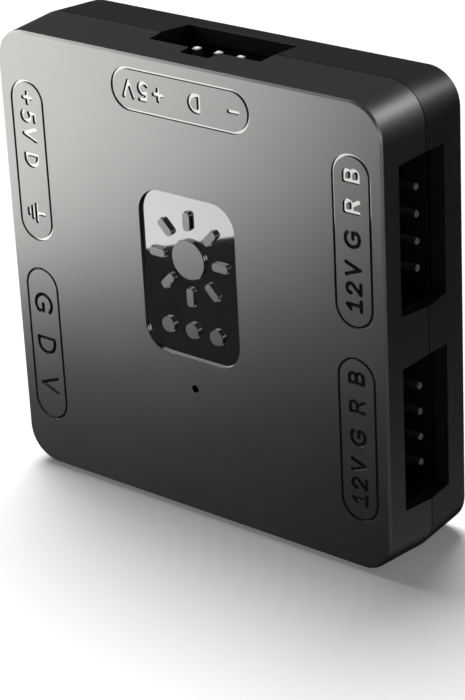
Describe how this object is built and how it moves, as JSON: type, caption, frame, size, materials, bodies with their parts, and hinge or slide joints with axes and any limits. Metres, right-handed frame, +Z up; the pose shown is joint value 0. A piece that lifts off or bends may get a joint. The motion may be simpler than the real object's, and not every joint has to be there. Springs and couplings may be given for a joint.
{
  "type": "rgb lighting hub",
  "caption": "Flat square lighting hub: a two-shell drafted case with engraved pin legends and keyed pin-header ports in its side and top walls, round a small controller board.",
  "frame": {"origin": "bottom centre of the bounding box, on the lowest edge of the upright case", "axes": "+Z up, the engraved face towards -Y, +X to the right when the face is looked at"},
  "size_m": [0.0454, 0.0124, 0.0455],
  "materials": {
    "front_case": "satin metallic gunmetal",
    "rear_case": "satin metallic charcoal",
    "inlay_polish": "mirror polish",
    "header_plastic": "moulded black",
    "pin_plating": "bright tin plate",
    "round_plating": "dull nickel plate",
    "board_laminate": "solder mask",
    "chip_plastic": "moulded epoxy",
    "ferrite": "ground ferrite",
    "can_aluminium": "drawn aluminium",
    "chip_ceramic": "fired ceramic",
    "resistor_ceramic": "glazed film",
    "lamp_resin": "clear resin",
    "screw_steel": "black zinc",
    "pad_foam": "foam with a film face"
  },
  "bodies": {
    "root": {"front_shell": "front_case", "rear_shell": "rear_case", "face_inlay": "inlay_polish", "case_screws": "screw_steel", "mounting_pad": "pad_foam", "right_upper_housing": "header_plastic", "right_lower_housing": "header_plastic", "left_upper_housing": "header_plastic", "left_lower_housing": "header_plastic", "top_housing": "header_plastic", "right_upper_pins": "round_plating", "right_lower_pins": "round_plating", "left_upper_pins": "pin_plating", "left_lower_pins": "pin_plating", "top_pins": "pin_plating", "circuit_board": "board_laminate", "controller_chip": "chip_plastic", "controller_leads": "pin_plating", "drive_transistors": "chip_plastic", "boost_regulator": "chip_plastic", "rectifier_diode": "chip_plastic", "power_inductor": "ferrite", "capacitor_cans": "can_aluminium", "capacitor_bases": "chip_plastic", "ceramic_capacitors": "chip_ceramic", "chip_resistors": "resistor_ceramic", "status_lamp": "lamp_resin"}
  },
  "joints": []
}
